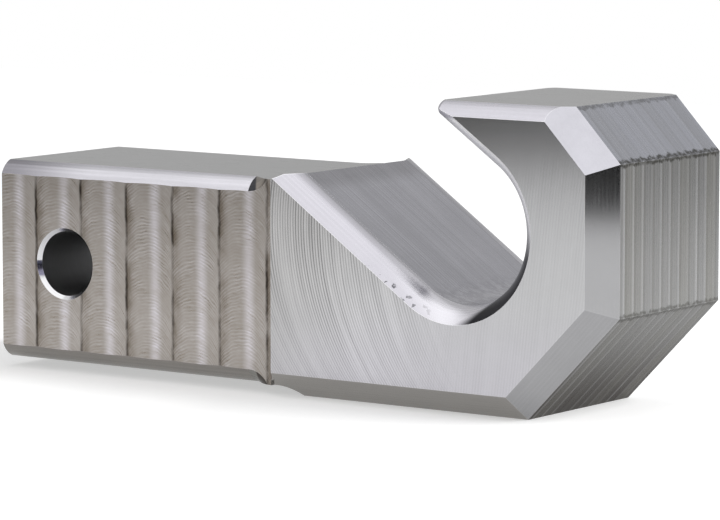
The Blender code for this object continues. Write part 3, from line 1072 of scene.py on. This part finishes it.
@dataclass
class Shank:
    """The square shank that slides into the receiver tube."""

    side: float = 50.8 * MM
    length: float = 88.4 * MM
    rise: float = 2.35 * MM
    edge: float = 3.54 * MM
    edge_stop: float = 9.0 * MM
    edge_arc_radius: float = 6.0 * MM
    edge_tool_radius: float = 3.2 * MM
    shoulder_radius: float = 3.2 * MM
    pin_diameter: float = 16.5 * MM
    pin_from_end: float = 20.8 * MM
    pin_chamfer: float = 0.95 * MM
    pass_step: float = 14.76 * MM
    pass_depth: float = 0.08 * MM
    pass_sway: float = 0.07 * MM
    sway_share: float = 1 / 8
    sway_levels: int = 26
    run_out_steps: int = 20
    free_end: float = -92.65 * MM

    @property
    def shoulder(self) -> float:
        """Where the shank meets the hook."""
        return self.free_end + self.length

    @property
    def last_cusp(self) -> float:
        """Where the last pass ends and the rounded shoulder starts."""
        return self.shoulder - self.shoulder_radius

    @property
    def top(self) -> float:
        """The height of the top face."""
        return self.rise + self.side

    @property
    def cheek(self) -> float:
        """How far each cheek lies from the middle plane."""
        return self.side / 2

    def tools(self, shop: Workshop, hook_cheek: float) -> list[Piece]:
        """Makes the cutters of the cheeks, the long edges and the pin hole, in this order."""
        return [self._cheeks(shop, hook_cheek), *self._edges(shop), self._pin_hole(shop)]

    def _cheeks(self, shop: Workshop, hook_cheek: float) -> Piece:
        """Makes the cutter of the cheeks, whose passes waver a little as they run up.

        Args:
            shop: The workshop.
            hook_cheek: How far the hook's own cheeks lie from the middle plane.

        Returns:
            The cutter.
        """
        chance = random.Random(7)
        count = math.ceil((self.length - self.shoulder_radius) / self.pass_step)
        passes = scallops(0.0, self.pass_step, count, self.pass_depth, 16)
        turn = math.acos(1 - (hook_cheek - self.cheek) / self.shoulder_radius)
        centre = (self.last_cusp, -self.cheek - self.shoulder_radius)
        step = arc(centre, self.shoulder_radius, math.pi / 2, math.pi / 2 - turn, 16)
        outer_y = -hook_cheek - CLEAR
        low, high = -CLEAR, self.top + CLEAR
        levels = range(self.sway_levels + 1)
        sways = [[chance.uniform(-1, 1) for _ in range(count + 2)] for _ in levels]
        rings = []
        for level in levels:
            z = low + (high - low) * level / self.sway_levels
            row = []
            for along, sunk in reversed(passes):
                number = round(along / self.pass_step)
                nearness = 1 - min(abs(along / self.pass_step - number) / self.sway_share, 1.0)
                sway = self.pass_sway * nearness * sways[level][number] if number else 0.0
                row.append((self.last_cusp - along + sway, -self.cheek + sunk, z))
            row += [(x, y, z) for x, y in step[1:]]
            row += [(row[-1][0], outer_y, z), (row[0][0], outer_y, z)]
            rings.append(row)
        return shop.mirrored(shop.loft("cheek_cutter", rings, "shank_cheek"))

    def _edges(self, shop: Workshop) -> list[Piece]:
        """Makes the cutters of the long edges, which stop short of the shoulder.

        Args:
            shop: The workshop.

        Returns:
            The cutters.
        """
        half_angle = math.asin(self.edge / math.sqrt(2) / self.edge_arc_radius)
        inward = self.edge / 2 + self.edge_arc_radius * math.cos(half_angle) / math.sqrt(2)
        middle = math.pi * 5 / 4
        ends = (middle + half_angle, middle - half_angle)
        rounding = arc((inward, inward), self.edge_arc_radius, *ends, 14)
        section = [(-CLEAR, self.edge), (-CLEAR, -CLEAR), (self.edge, -CLEAR), *rounding]
        stop = self.shoulder - self.edge_stop
        made = []
        for name, face, up in (("top", self.top, 1.0), ("bottom", self.rise, -1.0)):
            placed = [(-self.cheek + a, face - up * b) for a, b in section]
            axis = face + up * self.edge_tool_radius
            rings = [[(self.free_end - CLEAR, y, z) for y, z in placed]]
            for index in range(self.run_out_steps + 1):
                angle = math.pi / 2 * index / self.run_out_steps
                ring = []
                for y, z in placed:
                    reach = abs(axis - z)
                    height = axis - up * reach * math.cos(angle)
                    ring.append((stop + reach * math.sin(angle), y, height))
                rings.append(ring)
            cutter = shop.loft(f"{name}_edge_cutter", rings, f"{name}_edge")
            shop.refinish(cutter, f"{name}_run_out", lambda side: side.center.x > stop)
            made.append(shop.mirrored(cutter))
        return made

    def _pin_hole(self, shop: Workshop) -> Piece:
        """Makes the cutter of the pin hole, which widens at its two mouths.

        Args:
            shop: The workshop.

        Returns:
            The cutter.
        """
        radius = self.pin_diameter / 2
        middle = (self.free_end + self.pin_from_end, self.rise + self.side / 2)
        mouth = radius + self.pin_chamfer + CLEAR
        inner, outer = self.cheek - self.pin_chamfer, self.cheek + CLEAR
        rings = []
        for y, reach in ((-outer, mouth), (-inner, radius), (inner, radius), (outer, mouth)):
            ring = arc(middle, reach, 0.0, math.tau, 128)[:-1]
            rings.append([(x, y, z) for x, z in ring])
        drill = shop.loft("pin_drill", rings, "bore_rim")
        shop.refinish(drill, "bore", lambda side: abs(side.center.y) < inner / 2)
        return drill


@dataclass
class HookBlock:
    """The block of the hook: its outline, its facets and its chamfers."""

    shank: Shank
    length: float = 96.9 * MM
    width: float = 56.2 * MM
    height: float = 74.75 * MM
    lower_run: float = 25.3 * MM
    lower_rise: float = 25.85 * MM
    upper_run: float = 12.3 * MM
    upper_rise: float = 12.85 * MM
    chamfer_depth: float = 6.1 * MM
    chamfer_width: float = 5.87 * MM
    heel_start: float = 5.65 * MM
    step_radius: float = 9.5 * MM
    step_turn_radius: float = 8.5 * MM
    step_turn_forward: float = 3.2 * MM
    ramp_start: float = 0.6 * MM
    pass_step: float = 4.0 * MM
    pass_depth: float = 0.05 * MM
    cusp_depth: float = 0.01 * MM

    @property
    def cheek(self) -> float:
        """How far each cheek lies from the middle plane."""
        return self.width / 2

    @property
    def heel(self) -> float:
        """Where the flat base starts."""
        return self.shank.shoulder + self.heel_start

    @property
    def back(self) -> float:
        """Where the back face lies."""
        return self.shank.shoulder + self.length

    @property
    def pass_count(self) -> int:
        """How many passes lie side by side across the width."""
        return round(self.width / self.pass_step)

    @property
    def pass_ends(self) -> Point3:
        """The heights at which those passes run out, from the lower facet's top up."""
        return (self.lower_rise, self.height - self.upper_rise, self.height)

    @property
    def outer_edges(self) -> dict[str, tuple[Point2, Point2]]:
        """The outer edges in the side view, from the base round to the top.

        Returns:
            Each edge's start and end.
        """
        base_end = (self.back - self.lower_run, 0.0)
        back_low = (self.back, self.lower_rise)
        back_high = (self.back, self.height - self.upper_rise)
        top_end = (self.back - self.upper_run, self.height)
        return {
            "base": ((self.heel, 0.0), base_end),
            "lower_facet": (base_end, back_low),
            "back": (back_low, back_high),
            "upper_facet": (back_high, top_end),
        }

    def billet(self, shop: Workshop) -> Piece:
        """Makes the billet, with its own finish on each side.

        Args:
            shop: The workshop.

        Returns:
            The billet.
        """
        sunk = self.shank.rise
        step_x = self.heel - math.sqrt(sunk * (2 * self.step_radius - sunk))
        turn = math.acos(1 - sunk / self.step_radius)
        centre = (step_x, sunk - self.step_radius)
        step = arc(centre, self.step_radius, math.pi / 2, math.pi / 2 - turn, 16)
        facets = [end for _, end in self.outer_edges.values()]
        free_end = self.shank.free_end
        outline = [(free_end, sunk), *step, *facets, (free_end, self.height)]
        made = shop.plate("billet", outline, self.width, "base_face")
        shop.refinish(made, "hook_cheek", lambda side: abs(side.normal.y) > 0.9)
        shop.refinish(made, "shank_end", lambda side: side.normal.x < -0.9)
        shop.refinish(made, "top_face", lambda side: side.normal.z > 0.9)
        return made

    def tools(self, shop: Workshop) -> list[Piece]:
        """Makes the cutters of the block, first the one of the space over the shank.

        Args:
            shop: The workshop.

        Returns:
            The cutters.
        """
        edges = self.outer_edges
        passes = [self._passes(shop, name, *ends) for name, ends in edges.items() if name != "base"]
        chamfers = [self._chamfer(shop, name, *ends) for name, ends in edges.items()]
        return [self._space_over_shank(shop), *passes, *chamfers]

    def _space_over_shank(self, shop: Workshop) -> Piece:
        """Makes the cutter of the space over the shank, which turns forward at each cheek.

        Args:
            shop: The workshop.

        Returns:
            The cutter.
        """
        ceiling = self.height + CLEAR
        before = self.shank.free_end - CLEAR
        turned = easing(self.step_turn_radius, self.step_turn_radius, self.step_turn_forward)
        near = [(-CLEAR, self.step_turn_forward), *turned]
        rings = []
        for y, forward in over_the_width(self.cheek, near):
            start = self.shank.shoulder + self.ramp_start - forward
            centre = (start, self.shank.top + self.step_radius)
            step = arc(centre, self.step_radius, -math.pi / 2, 0.0, 32)
            outline = [(before, self.shank.top), *step]
            outline += [(start + self.step_radius, ceiling), (before, ceiling)]
            rings.append([(x, y, z) for x, z in outline])
        return shop.loft("space_cutter", rings, "top_face")

    @staticmethod
    def _frame(start: Point2, end: Point2) -> Matrix:
        """A frame at the middle of an outer edge: X along it, Y to the near cheek, Z out of it.

        Args:
            start: The edge's start in the side view.
            end: Its end.

        Returns:
            The frame.
        """
        along = Vector((end[0] - start[0], 0.0, end[1] - start[1])).normalized()
        across = Vector((0.0, -1.0, 0.0))
        frame = Matrix((along, across, along.cross(across))).transposed().to_4x4()
        frame.translation = ((start[0] + end[0]) / 2, 0.0, (start[1] + end[1]) / 2)
        return frame

    def _chamfer(self, shop: Workshop, name: str, start: Point2, end: Point2) -> Piece:
        """Makes the cutter of the chamfers along one outer edge.

        Args:
            shop: The workshop.
            name: The edge's name.
            start: The edge's start in the side view.
            end: Its end.

        Returns:
            The cutter.
        """
        depth, width = self.chamfer_depth, self.chamfer_width
        slant = Matrix.Rotation(-math.atan2(width, depth), 4, "X")
        corner = Matrix.Translation((0.0, self.cheek - depth / 2, -width / 2))
        length = math.dist(start, end) + 2 * (width + CLEAR)
        thick = 2 * (depth + width)
        outward = Matrix.Translation((0.0, 0.0, thick / 2))
        placing = self._frame(start, end) @ corner @ slant @ outward
        finish = f"{name}_chamfer"
        return shop.mirrored(shop.block(finish, (length, thick, thick), placing, finish))

    def _passes(self, shop: Workshop, name: str, start: Point2, end: Point2) -> Piece:
        """Makes the cutter that leaves passes side by side on one outer face.

        Args:
            shop: The workshop.
            name: The face's name.
            start: Its start in the side view.
            end: Its end.

        Returns:
            The cutter.
        """
        step = self.width / self.pass_count
        hollows = scallops(-self.cheek, step, self.pass_count, self.pass_depth, 8)
        side = self.cheek + CLEAR
        outline = [(-side, -self.cusp_depth)]
        outline += [(along, -self.cusp_depth - sunk) for along, sunk in hollows]
        outline += [(side, -self.cusp_depth), (side, CLEAR), (-side, CLEAR)]
        end_on = Matrix.Rotation(math.pi / 2, 4, "Z") @ Matrix.Rotation(math.pi / 2, 4, "X")
        length = math.dist(start, end) + 2 * CLEAR
        finish = f"{name}_passes"
        return shop.plate(finish, outline, length, finish, self._frame(start, end) @ end_on)


@dataclass
class Throat:
    """The throat, its ramp and the nose over it."""

    block: HookBlock
    radius: float = 18.4 * MM
    slope: float = math.radians(34.6)
    back_wall: float = 24.95 * MM
    floor: float = 25.8 * MM
    tip_radius: float = 2.6 * MM
    rounding_inset: float = 4.0 * MM
    rounding_depth: float = 7.0 * MM
    top_faced_off: float = 0.6 * MM
    tip_stop: float = math.radians(8)

    @property
    def centre(self) -> Point2:
        """The middle of the throat's round end in the side view."""
        return (self.block.back - self.back_wall - self.radius, self.floor + self.radius)

    def tools(self, shop: Workshop) -> list[Piece]:
        """Makes the cutters of the throat, its edges and the nose, in this order."""
        slot = shop.plate("throat_cutter", self._outline(0.0), self.block.width + 2 * CLEAR, "throat_wall")
        return [slot, self._edges(shop), self._nose(shop)]

    def _outline(self, widening: float) -> list[Point2]:
        """The throat's outline: its round end, then its open end past the metal.

        Args:
            widening: How much wider it is on every side.

        Returns:
            The outline's points.
        """
        low, high = -math.pi / 2 - self.slope, math.pi / 2 - self.slope
        points = arc(self.centre, self.radius + widening, low, high, 96)
        reach = 10 * self.radius
        away = (-math.cos(self.slope) * reach, math.sin(self.slope) * reach)
        upper = (points[-1][0] + away[0], points[-1][1] + away[1])
        lower = (points[0][0] + away[0], points[0][1] + away[1])
        return [*points, upper, lower]

    def _rounding(self) -> list[Point2]:
        """The rounding as (depth behind the cheek, inset), from outside the cheek to where it ends."""
        depth, inset = self.rounding_depth, self.rounding_inset
        return [(-CLEAR, inset), *easing(depth, (depth**2 + inset**2) / (2 * inset), inset)]

    def _edges(self, shop: Workshop) -> Piece:
        """Makes the cutter that rounds the edges of the ramp and the throat.

        Args:
            shop: The workshop.

        Returns:
            The cutter.
        """
        rings = []
        for depth, widening in [*self._rounding(), (self.rounding_depth + CLEAR, -CLEAR / 2)]:
            outline = self._outline(widening + PROUD)
            rings.append([(x, -self.block.cheek + depth, z) for x, z in outline])
        return shop.mirrored(shop.loft("throat_edge_cutter", rings, "rounding"))

    def _nose(self, shop: Workshop) -> Piece:
        """Makes the cutter that ends the nose in a round tip and rounds its edges.

        Args:
            shop: The workshop.

        Returns:
            The cutter.
        """
        rings = []
        for y, inset in over_the_width(self.block.cheek, self._rounding()):
            rings.append([(x, y, z) for x, z in self._tip(inset)])
        made = shop.loft("nose_cutter", rings, "top_face")
        edge = self.block.cheek - self.rounding_depth
        shop.refinish(made, "rounding", lambda side: abs(side.center.y) > edge)
        return made

    def _tip(self, inset: float) -> list[Point2]:
        """The nose's top and its round tip, moved into the metal, then the space before them.

        Args:
            inset: How far into the metal they are moved.

        Returns:
            The outline's points.
        """
        radius = max(self.tip_radius - inset, SHARP)
        sunk = radius + inset
        across, up = math.sin(self.slope), math.cos(self.slope)
        underside = across * self.centre[0] + up * self.centre[1] + self.radius
        top = self.block.height + self.top_faced_off
        centre_x = (underside + sunk - up * (top - sunk)) / across
        last = 3 * math.pi / 2 - self.slope - self.tip_stop
        tip = arc((centre_x, top - sunk), radius, math.pi / 2, last, 36)
        low = tip[-1][1] - self.radius / 2
        ceiling = top + CLEAR
        behind, before = self.block.back + CLEAR, self.block.shank.free_end
        outline = [(behind, tip[0][1]), *tip, (tip[-1][0], low)]
        return [*outline, (before, low), (before, ceiling), (behind, ceiling)]


class HitchHook:
    """The whole hook: one piece of steel."""

    SHARP_FROM = math.radians(5)

    def __init__(self) -> None:
        """Sets the sizes of the shank, the block on it and the throat in the block."""
        self.shank = Shank()
        self.block = HookBlock(self.shank)
        self.throat = Throat(self.block)

    def build(self, steel: Steel) -> Piece:
        """Mills the hook and smooths its round faces.

        Args:
            steel: The finishes.

        Returns:
            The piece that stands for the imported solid.
        """
        shop = Workshop(steel)
        billet = self.block.billet(shop)
        space, *outer = self.block.tools(shop)
        slot, edges, nose = self.throat.tools(shop)
        cheeks, *rest = self.shank.tools(shop, self.block.cheek)
        tools = [space, slot, cheeks, *outer, edges, nose, *rest]
        made = shop.finished(billet, tools, "hook_steel")
        self._smooth(made)
        return made

    def _smooth(self, made: Piece) -> None:
        """Welds slivers, shades round faces smooth and keeps flat faces flat.

        Args:
            made: The finished piece.
        """
        shape = bmesh.new()
        shape.from_mesh(made.data)
        bmesh.ops.remove_doubles(shape, verts=shape.verts, dist=WELD)
        bmesh.ops.dissolve_degenerate(shape, edges=shape.edges, dist=WELD)
        shape.to_mesh(made.data)
        shape.free()
        made.data.shade_smooth()
        made.data.set_sharp_from_angle(angle=self.SHARP_FROM)
        flat = made.modifiers.new("flat_faces", "WEIGHTED_NORMAL")
        flat.mode = "FACE_AREA"
        flat.weight = 100
        flat.keep_sharp = True


@dataclass
class PhotoCamera:
    """The camera of the photograph; azimuth 0 looks along +Y."""

    azimuth: float = math.radians(35.9337)
    elevation: float = math.radians(6.6694)
    distance: float = 1047.21 * MM
    aim: Point3 = (2.30 * MM, 0.0, 31.46 * MM)
    lens: float = 210.85
    sensor: float = 36.0

    def build(self) -> None:
        """Places the camera and makes it the scene's."""
        data = bpy.data.cameras.new("photo_camera")
        data.lens = self.lens
        data.sensor_width = self.sensor
        data.sensor_fit = "HORIZONTAL"
        data.clip_start = 0.01
        data.clip_end = 50.0
        level = math.cos(self.elevation)
        across = (math.sin(self.azimuth) * level, -math.cos(self.azimuth) * level)
        back = Vector((*across, math.sin(self.elevation)))
        made = in_scene("photo_camera", data)
        aimed(made, Vector(self.aim) + back * self.distance, back)
        bpy.context.scene.camera = made


@dataclass(frozen=True)
class Card:
    """A plain upright card, bent round the hook, that only reflections show."""

    name: str
    facing: float
    half_angle: float
    distance: float
    height: float
    brightness: float

    def build(self) -> Piece:
        """Builds the card.

        Returns:
            The card.
        """
        shape = bmesh.new()
        columns = []
        for index in range(CARD_STEPS + 1):
            turn = self.facing + self.half_angle * (2 * index / CARD_STEPS - 1)
            x, y = self.distance * math.cos(turn), self.distance * math.sin(turn)
            columns.append((shape.verts.new((x, y, 0.0)), shape.verts.new((x, y, self.height))))
        for left, right in zip(columns, columns[1:]):
            shape.faces.new((left[0], right[0], right[1], left[1]))
        material = bpy.data.materials.new(self.name)
        material.use_nodes = True
        shader = material.node_tree.nodes["Principled BSDF"]
        shader.inputs["Base Color"].default_value = BLACK
        shader.inputs["Specular IOR Level"].default_value = 0.0
        shader.inputs["Emission Color"].default_value = WHITE
        shader.inputs["Emission Strength"].default_value = self.brightness
        made = in_scene(self.name, mesh_of(self.name, shape))
        made.data.materials.append(material)
        made.visible_camera = False
        made.visible_diffuse = False
        made.visible_shadow = False
        return made


@dataclass
class Studio:
    """A white floor and sky, soft lamps, and cards before and behind the hook."""

    floor_size: float = 1.6
    floor_drop: float = 0.05 * MM
    floor_colour: Colour = (0.70, 0.70, 0.70)
    floor_glow: float = 0.40
    sky_strength: float = 0.45
    softbox_place: Point3 = (0.0, -0.35, 1.0)
    softbox_size: float = 1.5
    softbox_power: float = 3.2
    key_place: Point3 = (3.30, 1.14, 3.15)
    key_size: float = 1.8
    key_power: float = 180.0
    cards: tuple[Card, ...] = (
        Card("dark_card", math.radians(-40), math.radians(38), 0.55, 0.15, 0.03),
        Card("dim_card", math.radians(-128), math.radians(50), 0.63, 0.20, 0.10),
        Card("grey_card", math.radians(90), math.radians(88), 0.50, 0.60, 0.60),
    )

    def build(self) -> None:
        """Builds the whole studio and sets the view's colours to Standard."""
        bpy.context.scene.view_settings.view_transform = "Standard"
        self._sky()
        self._floor()
        [card.build() for card in self.cards]
        self._lamp("overhead_softbox", self.softbox_place, self.softbox_size, self.softbox_power)
        key = self._lamp("floor_key", self.key_place, self.key_size, self.key_power)
        key.visible_glossy = False

    @staticmethod
    def _seen(sheet: Sheet) -> Socket:
        """A mask of the rays that show the background: camera, glossy and transmission.

        Args:
            sheet: The sheet that the nodes go on.

        Returns:
            The mask.
        """
        path = sheet.node("ShaderNodeLightPath").outputs
        shown = sheet.math("MAXIMUM", path["Is Camera Ray"], path["Is Glossy Ray"])
        return sheet.math("MAXIMUM", shown, path["Is Transmission Ray"])

    def _sky(self) -> None:
        """Builds the world: white where it is seen, a plain level where it lights."""
        world = bpy.data.worlds.new("studio_sky")
        bpy.context.scene.world = world
        world.use_nodes = True
        sheet = Sheet(world.node_tree)
        background = world.node_tree.nodes["Background"]
        background.inputs["Color"].default_value = WHITE
        level = sheet.math("MULTIPLY_ADD", self._seen(sheet), 1.0 - self.sky_strength, self.sky_strength)
        sheet.plug(background.inputs["Strength"], level)

    def _floor(self) -> Piece:
        """Builds the floor, white where it is seen, which keeps the hook's shadow.

        Returns:
            The floor.
        """
        shape = bmesh.new()
        bmesh.ops.create_grid(shape, x_segments=8, y_segments=8, size=self.floor_size / 2)
        material = bpy.data.materials.new("studio_floor")
        material.use_nodes = True
        sheet = Sheet(material.node_tree)
        material.node_tree.nodes.remove(material.node_tree.nodes["Principled BSDF"])
        paper = sheet.node("ShaderNodeBsdfDiffuse")
        paper.inputs["Color"].default_value = (*self.floor_colour, 1.0)
        glow = sheet.node("ShaderNodeEmission")
        glow.inputs["Color"].default_value = WHITE
        sheet.plug(glow.inputs["Strength"], sheet.math("MULTIPLY", self._seen(sheet), self.floor_glow))
        both = sheet.filled(sheet.node("ShaderNodeAddShader"), paper.outputs[0], glow.outputs[0])
        sheet.plug(material.node_tree.nodes["Material Output"].inputs["Surface"], both)
        made = in_scene("studio_floor", mesh_of("studio_floor", shape))
        made.data.materials.append(material)
        made.location.z = -self.floor_drop
        return made

    @staticmethod
    def _lamp(name: str, place: Point3, size: float, power: float) -> Piece:
        """Hangs a soft square lamp and aims it at the hook.

        Args:
            name: The lamp's name.
            place: Where it hangs.
            size: How wide it is.
            power: Its power in watts.

        Returns:
            The lamp.
        """
        data = bpy.data.lights.new(name, "AREA")
        data.shape = "SQUARE"
        data.size = size
        data.energy = power
        made = in_scene(name, data)
        aimed(made, Vector(place), Vector(place))
        return made


def main() -> None:
    """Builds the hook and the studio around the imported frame."""
    logging.basicConfig(level=logging.INFO, format="%(name)s: %(message)s")
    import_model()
    PhotoCamera().build()
    design = HitchHook()
    hook = design.build(Steel(design))
    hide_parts("hitch_hook")
    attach(hook, "root")
    LOG.info("%s: %d faces", hook.name, len(hook.data.polygons))
    Studio().build()
    LOG.info("studio: floor, cards and lamps")


if __name__ == "__main__":
    main()
